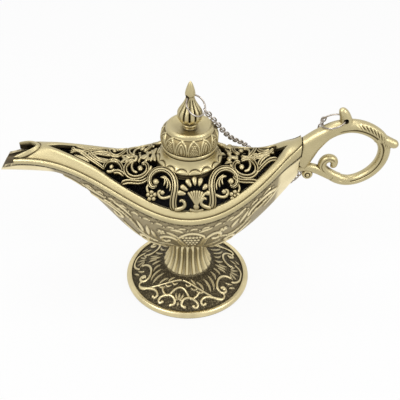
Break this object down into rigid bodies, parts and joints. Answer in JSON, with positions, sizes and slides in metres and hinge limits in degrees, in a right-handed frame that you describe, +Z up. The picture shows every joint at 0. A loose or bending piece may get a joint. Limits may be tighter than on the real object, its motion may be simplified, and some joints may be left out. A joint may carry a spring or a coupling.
{
  "type": "genie oil lamp",
  "caption": "Antique brass genie oil lamp: long-spouted bowl on a fluted foot, scroll handle, pierced lift-off cover, and a small lid tied to the handle by a chain.",
  "frame": {"origin": "on the floor, on the axis of the round foot", "axes": "+Z up, -X along the spout, +X towards the handle, so the lamp's middle plane is XZ"},
  "size_m": [0.2149, 0.0746, 0.1349],
  "materials": {
    "antique_brass": "satin antique, dark patina in the recesses",
    "plated_steel": "zinc-plated",
    "nickel_wire": "bright nickel-plated wire"
  },
  "bodies": {
    "base": {"bowl": "antique_brass", "handle": "antique_brass", "foot": "antique_brass", "foot_screw": "plated_steel", "foot_washer": "plated_steel", "handle_ring": "nickel_wire", "chain_lower": "nickel_wire"},
    "cover": {"cover": "antique_brass", "openwork": "antique_brass", "collar": "antique_brass", "chain_upper": "nickel_wire"},
    "lid": {"lid": "antique_brass", "finial": "antique_brass", "finial_nut": "plated_steel", "finial_ring": "nickel_wire"}
  },
  "joints": [
    {"name": "cover_lift", "type": "slide", "parent": "base", "child": "cover", "axis": [0, 0, 1], "range_m": [0, 0.04], "deforming": ["chain_lower"]},
    {"name": "lid_lift", "type": "slide", "parent": "cover", "child": "lid", "axis": [0, 0, 1], "range_m": [0, 0.03], "deforming": ["chain_upper"]}
  ]
}
